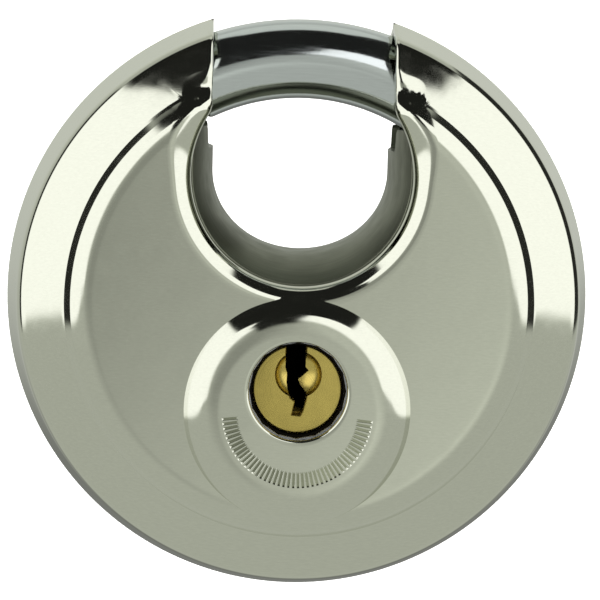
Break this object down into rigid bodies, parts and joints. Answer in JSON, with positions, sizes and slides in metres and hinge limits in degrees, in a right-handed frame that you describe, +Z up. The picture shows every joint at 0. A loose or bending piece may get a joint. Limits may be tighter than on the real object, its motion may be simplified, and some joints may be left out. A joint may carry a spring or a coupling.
{
  "type": "disc padlock",
  "caption": "Round stainless padlock: two pressed cups, a U throat for the hasp, and a bar shackle that the keyed plug turns through gears.",
  "frame": {"origin": "underside of the shackle bar at the middle of its span, where a hasp or chain link bears", "axes": "+X to the right seen from the front, +Y from the front face to the back along the disc's axis, +Z up"},
  "size_m": [0.07, 0.0274, 0.0684],
  "materials": {
    "shell_steel": "polished stainless sheet",
    "liner_steel": "brushed, unpolished",
    "shackle_steel": "polished round bar",
    "brass": "turned and milled",
    "housing_brass": "turned, unpolished",
    "die_cast_zinc": "as cast",
    "hardened_steel": "hardened and oiled",
    "spring_wire": "drawn wire"
  },
  "bodies": {
    "case": {"front_shell": "shell_steel", "rear_shell": "shell_steel", "throat_liner": "liner_steel", "cylinder_housing": "housing_brass", "drill_guard": "hardened_steel", "chamber_cover": "housing_brass", "guide_block_left": "die_cast_zinc", "guide_block_right": "die_cast_zinc", "back_plate": "die_cast_zinc", "plate_screw_1": "hardened_steel", "plate_screw_2": "hardened_steel", "plate_screw_3": "hardened_steel", "plate_screw_4": "hardened_steel", "pin_spring_1": "spring_wire", "pin_spring_2": "spring_wire", "pin_spring_3": "spring_wire", "pin_spring_4": "spring_wire"},
    "shackle": {"shackle": "shackle_steel", "shackle_rack": "hardened_steel", "rack_rivet_1": "hardened_steel", "rack_rivet_2": "hardened_steel", "rack_rivet_3": "hardened_steel"},
    "plug": {"plug": "brass", "drive_sector": "hardened_steel", "tail_clip": "hardened_steel"},
    "driver_pin_1": {"driver_pin_1": "hardened_steel"},
    "driver_pin_2": {"driver_pin_2": "hardened_steel"},
    "driver_pin_3": {"driver_pin_3": "hardened_steel"},
    "driver_pin_4": {"driver_pin_4": "hardened_steel"},
    "key_pin_1": {"key_pin_1": "brass"},
    "key_pin_2": {"key_pin_2": "brass"},
    "key_pin_3": {"key_pin_3": "brass"},
    "key_pin_4": {"key_pin_4": "brass"}
  },
  "joints": [
    {"name": "shackle_turn", "type": "hinge", "parent": "case", "child": "shackle", "pos_m": [0, 0, -0.02395], "axis": [0, 1, 0], "range_deg": [0, 52.5]},
    {"name": "plug_turn", "type": "hinge", "parent": "case", "child": "plug", "pos_m": [0, 0, -0.03395], "axis": [0, 1, 0], "range_deg": [0, 90]},
    {"name": "driver_1_slide", "type": "slide", "parent": "case", "child": "driver_pin_1", "axis": [0, 0, -1], "range_m": [0, 0.0014], "stiffness_N_per_m": 150, "springref_m": -0.001, "deforming": ["pin_spring_1"]},
    {"name": "driver_2_slide", "type": "slide", "parent": "case", "child": "driver_pin_2", "axis": [0, 0, -1], "range_m": [0, 0.0014], "stiffness_N_per_m": 150, "springref_m": -0.001, "deforming": ["pin_spring_2"]},
    {"name": "driver_3_slide", "type": "slide", "parent": "case", "child": "driver_pin_3", "axis": [0, 0, -1], "range_m": [0, 0.0014], "stiffness_N_per_m": 150, "springref_m": -0.001, "deforming": ["pin_spring_3"]},
    {"name": "driver_4_slide", "type": "slide", "parent": "case", "child": "driver_pin_4", "axis": [0, 0, -1], "range_m": [0, 0.0014], "stiffness_N_per_m": 150, "springref_m": -0.001, "deforming": ["pin_spring_4"]},
    {"name": "key_pin_1_slide", "type": "slide", "parent": "plug", "child": "key_pin_1", "axis": [0, 0, 1], "range_m": [0, 0.001]},
    {"name": "key_pin_2_slide", "type": "slide", "parent": "plug", "child": "key_pin_2", "axis": [0, 0, 1], "range_m": [0, 0.001]},
    {"name": "key_pin_3_slide", "type": "slide", "parent": "plug", "child": "key_pin_3", "axis": [0, 0, 1], "range_m": [0, 0.001]},
    {"name": "key_pin_4_slide", "type": "slide", "parent": "plug", "child": "key_pin_4", "axis": [0, 0, 1], "range_m": [0, 0.001]}
  ],
  "couplings": [
    {"joint": "plug_turn", "follows": "shackle_turn", "ratio": 1.7143}
  ]
}
